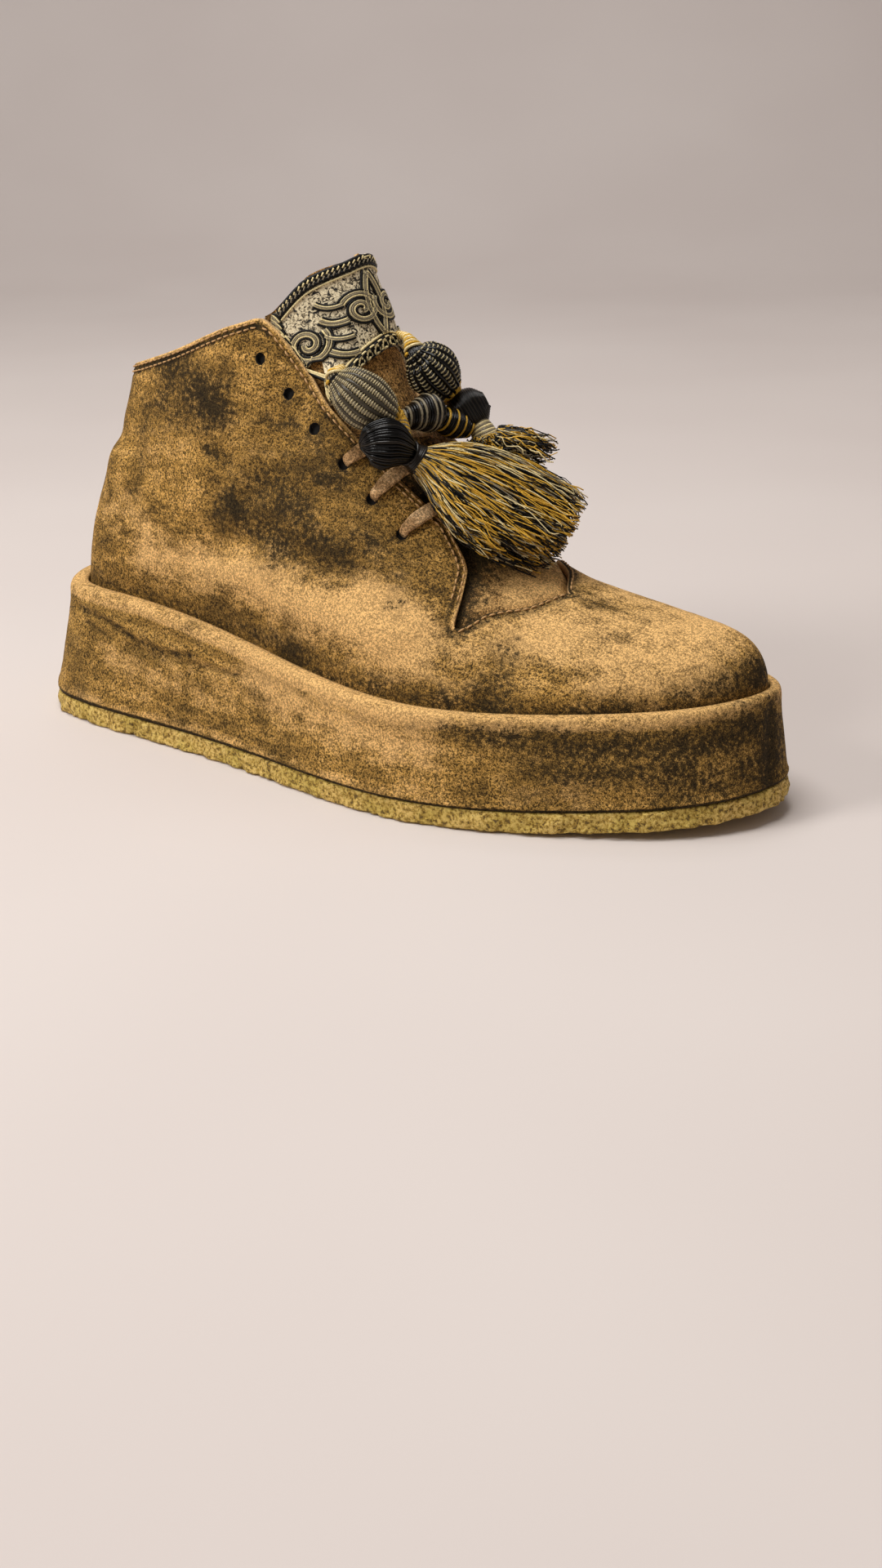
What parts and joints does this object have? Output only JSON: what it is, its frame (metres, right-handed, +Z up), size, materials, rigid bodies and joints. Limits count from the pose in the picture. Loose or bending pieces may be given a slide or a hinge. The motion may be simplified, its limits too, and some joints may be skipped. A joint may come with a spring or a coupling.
{
  "type": "platform ankle shoe",
  "caption": "Hollow suede ankle shoe on a wrapped wedge platform with a crepe outsole, ribbon-trimmed tongue, bar lacing and hanging thread tassels.",
  "frame": {"origin": "on the floor, under the middle of the outsole's length and width", "axes": "+X to the toe, +Y to the inner (medial) side, +Z up"},
  "size_m": [0.3, 0.1123, 0.1719],
  "materials": {
    "crepe": "matt natural crepe with a nodular edge",
    "platform_suede": "waxed suede wrap",
    "insole_leather": "plain lining leather",
    "suede": "waxed suede, mottled",
    "tongue_suede": "suede",
    "ribbon_weave": "woven scroll ribbon",
    "lace_suede": "flat suede lace",
    "tassel_lateral_thread": "satin black, grey and gold thread",
    "tassel_medial_thread": "satin black, grey and gold thread"
  },
  "bodies": {
    "root": {"outsole": "crepe", "platform": "platform_suede", "insole": "insole_leather", "upper": "suede", "tongue": "tongue_suede", "ribbon": "ribbon_weave", "laces": "lace_suede", "tassel_lateral": "tassel_lateral_thread", "tassel_medial": "tassel_medial_thread"}
  },
  "joints": []
}
